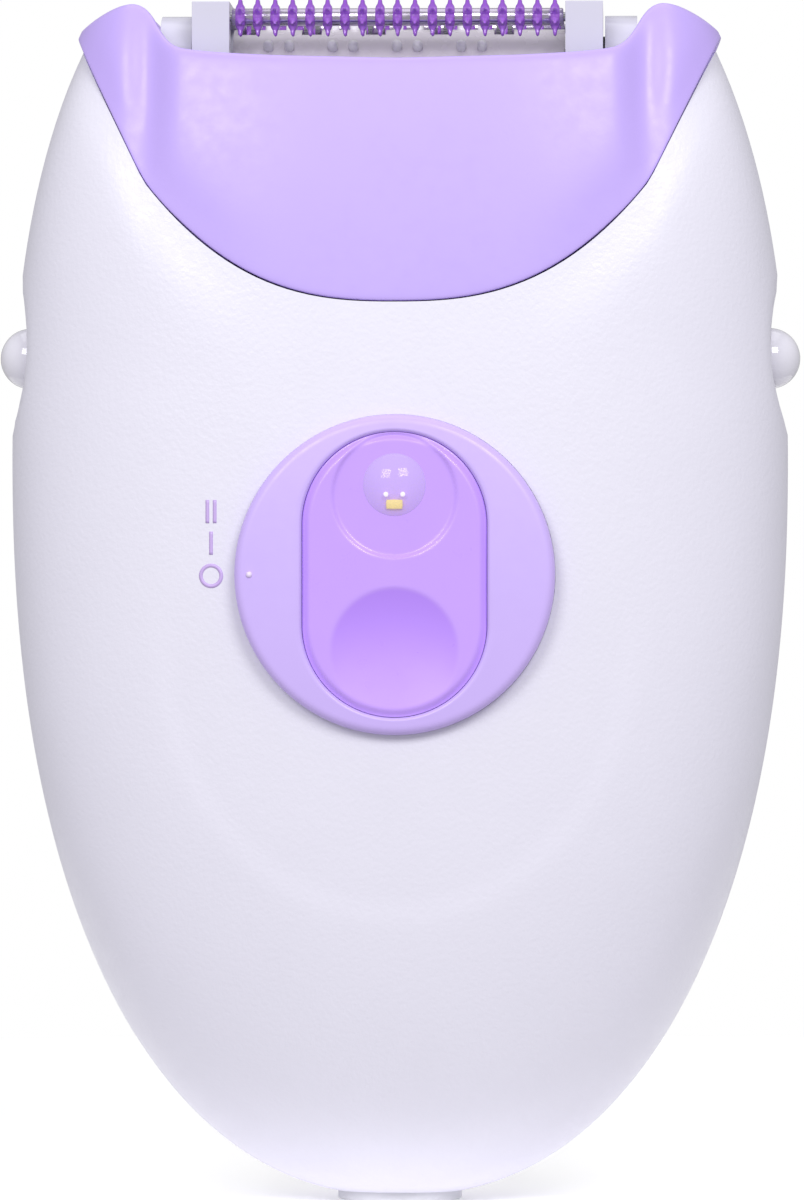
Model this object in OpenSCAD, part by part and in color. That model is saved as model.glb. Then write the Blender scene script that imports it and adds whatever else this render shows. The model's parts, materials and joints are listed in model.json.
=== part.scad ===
// Hand-held epilator, drawn upright: Z runs from the power inlet up to the tweezer head,
// X runs across, and the front with the dial faces -Y. All sizes are in millimetres.

/* [Body] */
// Half of the body's greatest width
half_width = 37.6; // [34:0.1:40]
// Height at which the body is widest
waist_z = 72; // [68:0.5:76]
// Height at which the body would close at the top if the head did not cut it off
apex_z = 133; // [130:0.5:140]
// Depth of the body in front of the seam
front_depth = 17.5; // [16.5:0.1:19]
// Depth of the body behind the seam
rear_depth = 19; // [18:0.1:21]
// Wall of the shells
wall = 2.2; // [1.8:0.1:2.4]
// Depth of the finger scallop around each release button
scallop_depth = 1.5; // [0.5:0.1:1.6]
// Half of the scallop's height
scallop_half = 7.8; // [6:0.1:10]

/* [Head] */
// Height of the lowest point of the shield's edge
shield_bottom = 86.5; // [86:0.1:88]
// Height of the shield's upper edge at the middle
shield_top = 109.9; // [109.8:0.1:111.5]
// Height of the ears
ear_top = 115.2; // [115:0.1:116.5]
// Height of the drum's axis
drum_z = 107.5; // [107.2:0.1:107.8]
// Radius of the tweezer tips
tweezer_r = 7.1; // [6.6:0.1:7.2]
// Tweezers in each of the four rows
tweezers_per_row = 5; // [4:1:5]
// Rings of bobbles on each massage roller
roller_rings = 19; // [12:1:19]
// Bobbles round each ring
roller_spikes = 8; // [6:2:8]

/* [Dial] */
// Height of the dial's centre
dial_z = 60.5; // [59:0.5:62]
// Radius of the dial
dial_r = 15.2; // [14:0.1:16]
// Width of the dial's clear window
window_w = 17.5; // [16:0.1:18]
// Height of the dial's clear window
window_h = 27; // [25:0.1:28]

/* [Buttons and drive] */
// Height of the release buttons
button_z = 81.5; // [81:0.1:82]
// Radius of a release button's dome
button_r = 2.95; // [2.5:0.05:3]
// Tooth size of the gears next to the drum
head_module = 0.7; // [0.7]
// Tooth size of the motor's pinion and the gear it drives
motor_module = 0.5; // [0.5]

/* [Hidden] */
$fn = 48;

lavender = [0.80, 0.71, 0.98];
white_plastic = [0.92, 0.91, 0.96];
purple = [0.62, 0.42, 0.85];
steel = [0.72, 0.73, 0.76];
black_plastic = [0.12, 0.12, 0.13];
brass = [0.80, 0.65, 0.30];

// Body outline: two half superellipses that meet at the waist
outline_power = 2.25;
base_z = 0.4;
depth_waist_z = 66;
depth_power_low = 2.8;
depth_power_up = 2.2;
depth_apex_z = 130;
shell_bottom_z = 0.95;
columns = 40;
part_gap = 0.25;

// Split between the handle and the head, as a height above each distance from the middle
arc_x = 24.2;
arc_rise = 11.7;
arc_power = 2.65;
ear_slope = 2.03;
ear_inner_x = 24.2;
ear_step_x = 22.8;
ear_corner_x = 31.3;
ear_flare = 1.2;
head_wall = 2;

// Gear train, all on axes along X
head_teeth = 16;
output_teeth = 28;
idler_small_teeth = 14;
idler_big_teeth = 42;
pinion_teeth = 12;
backlash = 0.1;
head_plane = [16.6, 18.4];
motor_plane = [18.8, 20.4];
output_z = drum_z - head_module * (head_teeth + output_teeth) / 2;
idler_z = output_z - head_module * (output_teeth + idler_small_teeth) / 2;
motor_y = 3;
motor_pitch = motor_module * (idler_big_teeth + pinion_teeth) / 2;
motor_z = idler_z - sqrt(motor_pitch * motor_pitch - motor_y * motor_y);
inner_plate = [13.6, 15.2];
outer_plate = [20.8, 22.2];
motor_left = -16.4;
motor_right = 13.4;
motor_flat = 15.4;
motor_round = 20.4;
motor_shaft_r = 0.75;
pin_r = 1;
fit = 0.04;

// Head
drum_half = 16;
drum_core_r = 5.9;
axle_r = 1.5;
rod_r = 0.6;
rod_circle = 2.75;
cheek = [20.4, 23];
cheek_r = 7.2;
cam_r = 5.2;
head_base = [96.5, 98];
roller_y = 7.9;
roller_z = 114.05;
roller_core_r = 0.8;
roller_tip_r = 1.95;
roller_axle_r = 0.45;
ring_reach = 15.1;
ring_w = 0.8;
post_x = [16.1, 19.7];
post_half = 1.4;
post_z = [104, 115.5];
bridge_z = 113.9;
crossbar_y = 8.6;
crossbar_z = [108.2, 109.6];
axle_half = post_x[1] - 0.2;

// Dial, with its ring measured forward from the seam
dial_seat_y = -16.4;
ring_foot = 16.6;
ring_under = 17.35;
ring_shoulder = 18.7;
ring_crown = 19.6;
ring_edge = 0.9;
dial_hub_r = 4.2;
neck_r = 3.4;
led_up = 8.5;
led_r = 2.5;
lens_r = 4.9;
lens_tip_y = -19.7;
thumb_r = 26;
thumb_depth = 0.7;
thumb_down = 7;
dial_travel = 18.6;
board_y = [-12.6, -11.4];
contact_circle = 3;

// Release buttons
arm_x = 25;
arm_wall = 1.2;
flange_x = [32.4, 33.9];
scallop_z = button_z + 1.35;

// ---------- outline functions ----------

function clamp01(t) = min(1, max(0, t));
function smooth(t) = clamp01(t) * clamp01(t) * (3 - 2 * clamp01(t));

// Closing factor of a half superellipse: 1 at t = 0 and 0 at t = 1
function closing(t, power) = pow(max(0, 1 - pow(clamp01(t), power)), 1 / power);

function outline_x(z) = half_width
    * (z < waist_z ? closing((waist_z - z) / (waist_z - base_z), outline_power)
                   : closing((z - waist_z) / (apex_z - waist_z), outline_power));
function depth_factor(z) = z < depth_waist_z
    ? closing((depth_waist_z - z) / (depth_waist_z - base_z), depth_power_low)
    : closing((z - depth_waist_z) / (depth_apex_z - depth_waist_z), depth_power_up);

// The section gets squarer towards the head
function section_power(z) = 2.3 + 0.7 * smooth((z - 78) / 30);

// One point of the body's surface at height z and angle a, set in from the skin by inset
function skin(z, a, inset, flare = 0) =
    let (
        power = 2 / section_power(z),
        half_x = outline_x(z) - inset + flare * smooth((z - 102) / 11),
        half_y = (sin(a) < 0 ? front_depth : rear_depth) * depth_factor(z) - inset
    )
    [sign(cos(a)) * pow(abs(cos(a)), power) * half_x,
     sign(sin(a)) * pow(abs(sin(a)), power) * half_y, z];

function split_z(x) = shield_bottom + (abs(x) < arc_x
    ? arc_rise * pow(abs(x) / arc_x, arc_power)
    : arc_rise + ear_slope * (abs(x) - arc_x));

// ---------- helpers ----------

// A solid that follows the body's skin from low to high
module body_form(low, high, inset, flare = 0, rows = 26) {
    // Rows crowd towards the bottom, where the outline closes fastest
    heights = [for (i = [0:rows]) low + (high - low) * pow(i / rows, 1.7)];
    points = [for (z = heights) for (c = [0:columns - 1]) skin(z, 360 * c / columns, inset, flare)];
    last = len(points) - columns;
    polyhedron(points, concat(
        [[for (c = [0:columns - 1]) c]],
        [[for (c = [columns - 1:-1:0]) last + c]],
        [for (r = [0:rows - 1]) for (c = [0:columns - 1]) for (half = [0, 1])
            let (a = r * columns + c, b = r * columns + (c + 1) % columns)
            half == 0 ? [a, a + columns, b] : [b, a + columns, b + columns]]
    ));
}

// A slab through the whole depth whose outline is drawn in X and Z
module through(outline, near = -40, far = 40) {
    translate([0, far, 0]) rotate([90, 0, 0]) linear_extrude(far - near) polygon(outline);
}

// Everything below the split between handle and head
module below_split(gap) {
    through(concat([[-60, -5]], [for (x = [-42:1.5:42]) [x, split_z(x) - gap]], [[60, -5]]));
}

module along_x(from, to, y = 0, z = 0) {
    translate([from, y, z]) rotate([90, 0, 90]) linear_extrude(to - from) children();
}

module along_y(from, to, x = 0, z = 0) {
    translate([x, to, z]) rotate([90, 0, 0]) linear_extrude(to - from) children();
}

module pin_x(r, from, to, y, z) {
    translate([from, y, z]) rotate([0, 90, 0]) cylinder(r = r, h = to - from);
}

module pin_y(r, from, to, x, z) {
    translate([x, from, z]) rotate([-90, 0, 0]) cylinder(r = r, h = to - from);
}

module block(x, y, z) {
    translate([x[0], y[0], z[0]]) cube([x[1] - x[0], y[1] - y[0], z[1] - z[0]]);
}

function mirrored_x(range) = [-range[1], -range[0]];
function around(middle, reach) = [middle - reach, middle + reach];

// A flat shape w by h whose short ends are half circles
module oblong(w, h) {
    r = min(w, h) / 2;
    square([w > h ? w - 2 * r : w, w > h ? h : h - 2 * r], center = true);
    for (side = [-1, 1]) translate([side * (w / 2 - r), side * (h / 2 - r)]) circle(r);
}

// Angle by which an involute has unrolled at radius r
function unroll(base_r, r) =
    let (t = sqrt(max(0, r * r / (base_r * base_r) - 1))) t * 180 / PI - atan(t);

// Outline of a spur gear with a tooth centred on the angle phase
module gear_outline(teeth, tooth_module, phase) {
    pitch_r = teeth * tooth_module / 2;
    base_r = pitch_r * cos(25);
    outer_r = pitch_r + 0.8 * tooth_module;
    root_r = pitch_r - 1.05 * tooth_module;
    start_r = max(base_r, root_r);
    foot = 90 / teeth - backlash / 4 / pitch_r * 180 / PI + unroll(base_r, pitch_r);
    flank = [for (i = [0:4])
        let (r = start_r + (outer_r - start_r) * i / 4) [r, foot - unroll(base_r, r)]];
    tooth = concat([[root_r, -foot]], [for (f = flank) [f[0], -f[1]]],
                   [for (i = [4:-1:0]) flank[i]], [[root_r, foot]]);
    polygon([for (t = [0:teeth - 1]) for (p = tooth)
        let (a = p[1] + phase + 360 * t / teeth) [p[0] * cos(a), p[0] * sin(a)]]);
}

// Round wire along a cubic curve through four control points; ref is never along the wire
function curve_point(c, t) = c[0] * pow(1 - t, 3) + 3 * c[1] * t * pow(1 - t, 2)
    + 3 * c[2] * t * t * (1 - t) + c[3] * pow(t, 3);
function unit(v) = v / norm(v);
module wire(c, r, ref, rings = 12, sides = 8) {
    points = [for (i = [0:rings]) let (
            t = i / rings,
            here = curve_point(c, t),
            ahead = unit(curve_point(c, t + 0.01) - curve_point(c, t - 0.01)),
            u = unit(cross(ahead, ref)),
            v = cross(ahead, u)
        ) for (s = [0:sides - 1]) here + r * (cos(360 * s / sides) * u + sin(360 * s / sides) * v)];
    last = rings * sides;
    polyhedron(points, concat(
        [[for (s = [sides - 1:-1:0]) s]],
        [[for (s = [0:sides - 1]) last + s]],
        [for (k = [0:rings - 1]) for (s = [0:sides - 1]) for (half = [0, 1])
            let (a = k * sides + s, b = k * sides + (s + 1) % sides)
            half == 0 ? [a, b, a + sides] : [b, b + sides, a + sides]]
    ));
}

// ---------- places shared by several pieces ----------

screw_places = [[25.4, 62], [-25.4, 62], [11, 20], [-11, 20]];
boss_inset = 1.7;
boss_r = 2.8;
shell_screw_r = 1.15;
screw_head_r = 2;
screw_hole_r = 2.2;
screw_sink = 3.6;
inlet_y = 0.25;
inlet_size = [12, 8.6];
recess_size = [9.6, 6.2];
contact_x = 2.4;
contact_r = 0.8;
led_z = dial_z + led_up;
carrier_y = [-17.3, -16.6];
window_y = [-18.9, -17.4];
neck_y = [-14.9, -14.1];
deck_z = [84.5, 86];
plate_top = 95.5;
leg_x = [26.9, 28.3];
leg_bottom = 88.6;
barb_z = [88.6, 90];
hook_z = [90.3, 92];
head_screw_x = 25.2;
head_screw_r = 0.8;
motor_screw_gap = 6.5;
motor_screw_r = 0.8;

// How far in front of (or behind) the seam the skin lies at x and z
function skin_y(x, z, inset, front) = (front ? -1 : 1)
    * ((front ? front_depth : rear_depth) * depth_factor(z) - inset)
    * closing(abs(x) / (outline_x(z) - inset), section_power(z));

// ---------- handle ----------

// The handle's hollow skin with everything cut that goes through both halves
module handle_skin() {
    difference() {
        body_form(shell_bottom_z, 113, 0);
        body_form(shell_bottom_z + wall, 114, wall);
        for (side = [-1, 1]) {
            // finger scallop, a shallow arc in the side wall
            scallop_r = (scallop_half * scallop_half + scallop_depth * scallop_depth) / 2 / scallop_depth;
            pin_y(scallop_r, -30, 30, side * (outline_x(button_z) - scallop_depth + scallop_r), scallop_z);
            pin_x(button_r + 0.3, side > 0 ? 30 : -42, side > 0 ? 42 : -30, 0, button_z);
        }
        translate([0, inlet_y, -2]) linear_extrude(8) oblong(inlet_size[0] + 0.3, inlet_size[1] + 0.3);
    }
}

module front_shell() color(white_plastic) {
    difference() {
        intersection() {
            handle_skin();
            below_split(part_gap);
            block([-60, 60], [-60, -0.05], [-5, 125]);
        }
        pin_y(dial_r + 0.15, -40, dial_seat_y, 0, dial_z);
        pin_y(dial_hub_r + 0.4, -40, -10, 0, dial_z);
        pin_y(led_r + 0.7, -40, -10, 0, led_z);
    }
    for (p = screw_places) difference() {
        pin_y(boss_r, skin_y(p[0], p[1], boss_inset, true), -0.6, p[0], p[1]);
        pin_y(shell_screw_r + fit, -9, 0, p[0], p[1]);
    }
}

module rear_shell() color(white_plastic) difference() {
    union() {
        intersection() {
            handle_skin();
            below_split(part_gap);
            block([-60, 60], [0.05, 60], [-5, 125]);
        }
        for (p = screw_places) pin_y(boss_r, 0.6, skin_y(p[0], p[1], boss_inset, false), p[0], p[1]);
    }
    for (p = screw_places) {
        pin_y(shell_screw_r + fit, -1, 30, p[0], p[1]);
        pin_y(screw_hole_r, skin_y(p[0], p[1], 0, false) - screw_sink, 30, p[0], p[1]);
    }
}

module shell_screws() color(steel) for (p = screw_places) {
    seat = skin_y(p[0], p[1], 0, false) - screw_sink;
    difference() {
        pin_y(screw_head_r, seat, seat + 1.5, p[0], p[1]);
        along_y(seat + 0.9, seat + 2, p[0], p[1]) for (a = [0, 90])
            rotate(a) square([2.4, 0.5], center = true);
    }
    pin_y(shell_screw_r, -7.5, seat, p[0], p[1]);
}

module socket_collar() color([0.86, 0.86, 0.9]) translate([0, inlet_y, 0]) linear_extrude(4) difference() {
    oblong(inlet_size[0], inlet_size[1]);
    oblong(recess_size[0], recess_size[1]);
}

module power_socket() color(black_plastic) translate([0, inlet_y, 4]) difference() {
    linear_extrude(8.5) oblong(13.6, 10.2);
    translate([0, 0, -1]) linear_extrude(7.6) oblong(recess_size[0], recess_size[1]);
    for (side = [-1, 1]) translate([side * contact_x, 0, 0]) cylinder(r = contact_r + fit, h = 10);
}

module contact_pins() color(brass) for (side = [-1, 1]) translate([side * contact_x, inlet_y, 5]) {
    translate([0, 0, 0.5]) cylinder(r = contact_r, h = 9.5);
    cylinder(r1 = contact_r * 0.6, r2 = contact_r, h = 0.5);
}

module chassis() color([0.80, 0.82, 0.84]) difference() {
    union() {
        // motor and inner bearing plate, with its tab for the board
        block(inner_plate, [-9, 12], [52, deck_z[0]]);
        block(inner_plate, [-5, 5], [52, plate_top]);
        block([12, inner_plate[1]], [board_y[1], -8], [56, 60]);
        // outer bearing plate and its foot
        block(outer_plate, [-6, 8], [54, deck_z[0]]);
        block(outer_plate, [-5, 5], [54, plate_top]);
        block([inner_plate[0], outer_plate[1]], [-2, 8], [54, 56]);
        // tray under the motor, left upright and its board tab
        block([-outer_plate[1], inner_plate[1]], [-4, 10], [52, 53.4]);
        block(mirrored_x(outer_plate), [-6, 10], [52, deck_z[0] + 0.1]);
        block(mirrored_x(outer_plate), [board_y[1], -6], [56, 60]);
        block([-outer_plate[1], -12], [board_y[1], board_y[1] + 1.4], [56, 60]);
        // deck that closes the handle under the head
        translate([0, 0, deck_z[0]]) linear_extrude(deck_z[1] - deck_z[0])
            polygon([for (c = [0:59]) let (p = skin(deck_z[1], 6 * c, wall + 0.2)) [p[0], p[1]]]);
    }
    // gear slot in the deck
    block([inner_plate[1], outer_plate[0]], [-11.5, 11.5], [deck_z[0] - 1, deck_z[1] + 1]);
    // arm slots
    for (side = [-1, 1]) translate([side * 24.45, 0, deck_z[0] + 0.75]) cube([3.7, 7, 3], center = true);
    pin_x(3.1, 10, 16, motor_y, motor_z);
    pin_x(pin_r, 10, 30, 0, idler_z);
    pin_x(pin_r, 10, 30, 0, output_z);
    for (side = [-1, 1]) pin_x(motor_screw_r + fit, 10, 16, motor_y, motor_z + side * motor_screw_gap);
}

module motor_can() color(steel) difference() {
    union() {
        intersection() {
            pin_x(motor_round / 2, motor_left, motor_right, motor_y, motor_z);
            block([motor_left, motor_right], around(motor_y, motor_flat / 2), around(motor_z, 12));
        }
        pin_x(3, motor_right, motor_right + 1.4, motor_y, motor_z);
    }
    pin_x(motor_shaft_r + fit, 4, 20, motor_y, motor_z);
    for (side = [-1, 1])
        pin_x(motor_screw_r + fit, motor_right - 2.5, 20, motor_y, motor_z + side * motor_screw_gap);
}

module motor_end_cap() color(black_plastic) intersection() {
    pin_x(motor_round / 2 - 0.6, motor_left - 1.6, motor_left, motor_y, motor_z);
    block([motor_left - 2, motor_left], around(motor_y, motor_flat / 2 - 0.6), around(motor_z, 12));
}

module motor_terminals() color(brass) for (side = [-1, 1])
    block([motor_left - 4, motor_left - 1.6], around(motor_y - 4, 1), around(motor_z + side * 4, 0.2));

module motor_screws() color(steel) for (side = [-1, 1]) {
    z = motor_z + side * motor_screw_gap;
    pin_x(1.5, inner_plate[1], inner_plate[1] + 0.8, motor_y, z);
    pin_x(motor_screw_r, motor_right - 2, inner_plate[1], motor_y, z);
}

module idler_pin() color(steel) pin_x(pin_r, inner_plate[0], outer_plate[1], 0, idler_z);
module output_pin() color(steel) pin_x(pin_r, inner_plate[0], outer_plate[1], 0, output_z);

module circuit_board() color([0.10, 0.42, 0.25]) difference() {
    block([-14, 14], board_y, [44, 76]);
    for (side = [-1, 1]) pin_y(1.1, -20, 0, side * 11.5, 73.5);
}

module board_components() {
    back = board_y[1];
    color([0.15, 0.15, 0.17]) for (i = [0:2])
        block([-9 + 5 * i, -6 + 5 * i], [back, back + 1.6], [48, 50]);
    color([0.55, 0.35, 0.2]) pin_y(2.2, back, back + 3.2, 9.5, 49.5);
    color([0.2, 0.2, 0.4]) pin_y(2.4, back, back + 5, -9, 57);
    color([0.7, 0.7, 0.65]) for (i = [0:3]) block([-2 + 3 * i, 3 * i], [back, back + 0.6], [68, 69.2]);
}

module switch_pads() color(brass) for (a = [0, 120, 240])
    pin_y(0.8, board_y[0] - 0.1, board_y[0], contact_circle * sin(a), dial_z + contact_circle * cos(a));

module led_lamp() color([0.95, 0.95, 0.8, 0.8]) {
    tip = -17.4;
    pin_y(led_r + 0.3, board_y[0] - 0.8, board_y[0], 0, led_z);
    pin_y(led_r, tip + led_r, board_y[0] - 0.8, 0, led_z);
    intersection() {
        translate([0, tip + led_r, led_z]) sphere(led_r);
        block([-5, 5], [-30, tip + led_r], around(led_z, 5));
    }
}

module detent_spring() color(steel) {
    block([-8, -5.2], [-13.9, -13.6], [dial_z - 5, dial_z + 3]);
    block([-8, -7.6], [-13.6, board_y[0]], [dial_z - 5, dial_z + 3]);
}

module button_springs() color(steel) for (side = [-1, 1])
    block(side > 0 ? [23.9, 24.2] : [-24.2, -23.9], [-1.5, 1.5], [77, deck_z[0]]);

module socket_wires() {
    end_y = board_y[1] + 0.7;
    for (side = [-1, 1]) color(side < 0 ? "firebrick" : [0.15, 0.15, 0.15])
        wire([[side * contact_x, inlet_y, 15], [side * contact_x, inlet_y, 30],
              [side * contact_x, end_y, 28], [side * contact_x, end_y, 46]], 0.6, [1, 0, 0]);
}

module motor_wires() {
    for (side = [-1, 1]) color(side < 0 ? "royalblue" : "gold")
        wire([[motor_left - 3.2, motor_y - 5.6, motor_z + side * 4],
              [motor_left - 3.2, -8, motor_z + side * 4],
              [-15, -10, motor_z + side * 2 + 4],
              [-11.5, board_y[1] + 0.6, motor_z + side * 2 + 4]], 0.45, [0, 0, 1]);
}

// ---------- drive ----------

mesh_angle = atan2(motor_z - idler_z, motor_y);

module motor_shaft() color(steel) pin_x(motor_shaft_r, 5, motor_plane[1] + 0.2, motor_y, motor_z);

module motor_pinion() color(brass) difference() {
    union() {
        along_x(motor_plane[0], motor_plane[1], motor_y, motor_z)
            gear_outline(pinion_teeth, motor_module, mesh_angle + 180 + 180 / pinion_teeth);
        pin_x(2, 16.8, motor_plane[0], motor_y, motor_z);
    }
    pin_x(motor_shaft_r, 10, 30, motor_y, motor_z);
}

module idler_gear() color([0.93, 0.93, 0.88]) difference() {
    union() {
        along_x(head_plane[0], motor_plane[0], 0, idler_z)
            gear_outline(idler_small_teeth, head_module, 90);
        along_x(motor_plane[0], motor_plane[1], 0, idler_z)
            gear_outline(idler_big_teeth, motor_module, mesh_angle);
        pin_x(2.2, inner_plate[1] + 0.2, outer_plate[0] - 0.2, 0, idler_z);
    }
    pin_x(pin_r + fit, 10, 30, 0, idler_z);
}

module output_gear() color([0.93, 0.93, 0.88]) difference() {
    union() {
        along_x(head_plane[0], head_plane[1], 0, output_z)
            gear_outline(output_teeth, head_module, 90 + 180 / output_teeth);
        pin_x(2.5, inner_plate[1] + 0.2, outer_plate[0] - 0.2, 0, output_z);
    }
    pin_x(pin_r + fit, 10, 30, 0, output_z);
    for (a = [0:60:300]) pin_x(1.5, 10, 30, 6 * cos(a), output_z + 6 * sin(a));
}

// ---------- dial ----------

// The path that the lamp takes past the turning dial
module lamp_path(near, far) {
    for (i = [0:4]) {
        a = dial_travel * i / 4;
        pin_y(led_r + 0.5, near, far, -led_up * sin(a), dial_z + led_up * cos(a));
    }
}

module dial_ring() color(lavender) difference() {
    dome_r = dial_r - ring_edge;
    dome_steps = 5;
    translate([0, 0, dial_z]) rotate([90, 0, 0]) rotate_extrude($fn = 96) polygon(concat(
        [[0, ring_under], [dome_r, ring_under], [dome_r, ring_foot], [dial_r, ring_foot]],
        [for (a = [0:15:75]) [dome_r + ring_edge * cos(a), ring_shoulder - ring_edge + ring_edge * sin(a)]],
        [for (i = [dome_steps:-1:0]) let (t = i / dome_steps)
            [dome_r * t, ring_crown - (ring_crown - ring_shoulder) * t * t]]
    ));
    along_y(-40, 0, 0, dial_z) oblong(window_w + 0.3, window_h + 0.3);
}

module light_window() color([purple[0], purple[1], purple[2], 0.6]) difference() {
    union() {
        along_y(window_y[0], window_y[1], 0, dial_z) oblong(window_w, window_h);
        // clear cap over the lamp
        intersection() {
            translate([0, lens_tip_y + lens_r, led_z]) sphere(lens_r, $fn = 96);
            block([-5, 5], [lens_tip_y - 1, window_y[0] + 0.15], around(led_z, 5));
        }
    }
    // hollow for the tip of the thumb
    translate([0, window_y[0] + thumb_depth - thumb_r, dial_z - thumb_down]) sphere(thumb_r, $fn = 96);
    lamp_path(-18.1, -10);
}

module dial_carrier() color(white_plastic) difference() {
    union() {
        pin_y(dial_r - 1, carrier_y[0], carrier_y[1], 0, dial_z);
        pin_y(dial_hub_r, carrier_y[1], neck_y[0], 0, dial_z);
        pin_y(neck_r, neck_y[0], neck_y[1], 0, dial_z);
        pin_y(dial_hub_r, neck_y[1], -13.5, 0, dial_z);
    }
    lamp_path(-30, carrier_y[1] + 0.3);
}

module dial_retainer() color(steel) difference() {
    pin_y(5.2, neck_y[0] + 0.1, neck_y[1] - 0.1, 0, dial_z);
    pin_y(neck_r + fit, -20, 0, 0, dial_z);
    block([-2.6, 2.6], [-20, 0], [dial_z - 8, dial_z]);
}

module dial_wiper() color(brass) {
    disc_y = [-13.5, -13.2];
    pin_y(contact_circle + 0.6, disc_y[0], disc_y[1], 0, dial_z);
    for (a = [60, 180])
        pin_y(0.4, disc_y[1], board_y[0] - 0.2, contact_circle * sin(a), dial_z + contact_circle * cos(a));
}

// ---------- release buttons ----------

module right_button() color([0.95, 0.94, 0.98]) {
    seat = outline_x(button_z) - scallop_depth;
    translate([seat, 0, button_z]) sphere(button_r);
    pin_x(button_r - 0.05, 33, seat, 0, button_z);
    // flange that keeps the button in, below the deck
    block(flange_x, [-4, 4], [button_z - 3.8, deck_z[0] - 0.2]);
    block([arm_x + arm_wall / 2, flange_x[0]], [-2.5, 2.5], [button_z - 1.7, button_z + 0.7]);
    block(around(arm_x, arm_wall / 2), [-2.8, 2.8], [button_z - 1.7, hook_z[1]]);
    block([arm_x + arm_wall / 2, leg_x[0] - 0.8], [-2.8, 2.8], hook_z);
}

module left_button() mirror([1, 0, 0]) right_button();

// ---------- head ----------

module saddle_skin() difference() {
    body_form(shield_bottom - 2, 118, 0, ear_flare, 20);
    // everything outside the saddle's outline
    through(concat([[-60, 60]], [for (x = [-42:1.5:42]) [x, split_z(x)]], [[60, 60]]));
    through(concat([[-60, 140], [-60, ear_top - 4], [-ear_corner_x, ear_top - 3.2]], saddle_rim(-1),
                   saddle_rim(1), [[ear_corner_x, ear_top - 3.2], [60, ear_top - 4], [60, 140]]));
    // hollow between the two shields
    intersection() {
        body_form(shield_bottom - 3, 119, head_wall, ear_flare, 20);
        union() {
            block([-cheek[1] - 0.2, cheek[1] + 0.2], [-30, 30], [60, 130]);
            block([-40, 40], [-30, 30], [60, head_base[1] + 0.3]);
            for (side = [-1, 1]) translate([side * 30 - 5.1, -30, 60]) cube([10.2, 60, ear_top - 62]);
        }
    }
}

module saddle_housing() color(lavender) difference() {
    union() {
        saddle_skin();
        for (side = [-1, 1]) translate([side * head_screw_x, 0, head_base[1] + 0.1])
            cylinder(r = 2, h = 12);
    }
    for (side = [-1, 1]) translate([side * head_screw_x, 0, 90]) cylinder(r = head_screw_r + fit, h = 16);
}

// Upper edge of the saddle from the ear's corner to the middle, or back again for side 1
function saddle_rim(side) =
    let (
        top = [for (a = [20:14:90]) [-29 - 2.3 * cos(a), ear_top - 1 - 2.2 * (1 - sin(a))]],
        flank = [[-26, ear_top], [-ear_inner_x - 0.3, ear_top - 0.2], [-ear_inner_x, ear_top - 0.8]],
        shield = [[-ear_step_x, shield_top + 0.9], [-12, shield_top + 0.2], [0, shield_top]],
        edge = concat(top, flank, shield)
    )
    side < 0 ? edge : [for (i = [len(edge) - 2:-1:0]) [-edge[i][0], edge[i][1]]];

module head_frame() color(white_plastic) difference() {
    union() {
        block([-20.4, 20.4], [-11, 11], head_base);
        block([-24, 24], [-6, 6], head_base);
        block([-leg_x[1], leg_x[1]], [-4, 4], head_base);
        for (side = [-1, 1]) {
            plate = side > 0 ? cheek : mirrored_x(cheek);
            along_x(plate[0], plate[1], 0, drum_z) circle(cheek_r);
            // collar of the cheek round the cam
            collar = side > 0 ? [post_x[1] + 0.2, cheek[0]] : [-cheek[0], -post_x[1] - 0.2];
            along_x(collar[0], collar[1], 0, drum_z) difference() {
                circle(cheek_r);
                circle(cam_r + 0.3);
            }
            block(plate, [-cheek_r, cheek_r], [head_base[0], drum_z]);
            // ledges under the feet of the roller frame
            for (end = [-1, 1]) block(side > 0 ? [post_x[0], cheek[0]] : [-cheek[0], -post_x[0]],
                end > 0 ? [6.7, 9.3] : [-9.3, -6.7], [head_base[0], post_z[0] - 0.2]);
            // catch leg and its barb
            leg = side > 0 ? leg_x : mirrored_x(leg_x);
            block(leg, [-3.4, 3.4], [leg_bottom, head_base[0]]);
            barb = [leg_x[0] - 0.5, leg_x[0] + 0.2];
            block(side > 0 ? barb : mirrored_x(barb), [-3.4, 3.4], barb_z);
        }
    }
    // room for the output gear
    block([head_plane[0] - 0.5, head_plane[1] + 0.5], [-9.5, 9.5], [90, head_base[1] + 2.8]);
    pin_x(axle_r, -30, 30, 0, drum_z);
    for (side = [-1, 1]) translate([side * head_screw_x, 0, 90]) cylinder(r = head_screw_r + fit, h = 20);
}

module head_screws() color(steel) for (side = [-1, 1]) translate([side * head_screw_x, 0, 0]) {
    translate([0, 0, head_base[0] - 1.2]) cylinder(r = 1.5, h = 1.2);
    translate([0, 0, head_base[0]]) cylinder(r = head_screw_r, h = 8);
}

module drum_axle() color(steel) pin_x(axle_r, -cheek[1], cheek[1], 0, drum_z);

// A fixed ramp that pushes the clamp rods as they pass
module cam(low, high, thin_side) difference() {
    pin_x(cam_r, low, high, 0, drum_z);
    pin_x(axle_r, -40, 40, 0, drum_z);
    translate([thin_side, 0, drum_z + 4]) rotate([0, thin_side > 0 ? -12 : 12, 0])
        cube([0.9, 12, 8], center = true);
}

module left_cam() color([0.35, 0.36, 0.4]) cam(-cheek[0], -drum_half - 1, -drum_half - 1);
module right_cam() color([0.35, 0.36, 0.4]) cam(head_plane[1] + 0.4, cheek[0], head_plane[1] + 0.4);

// ---------- drum ----------

row_pitch = 6.2;
row_shift = 1.5;
blade = 0.45;
blade_gap = 0.65;
slot_half = 0.95;

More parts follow.
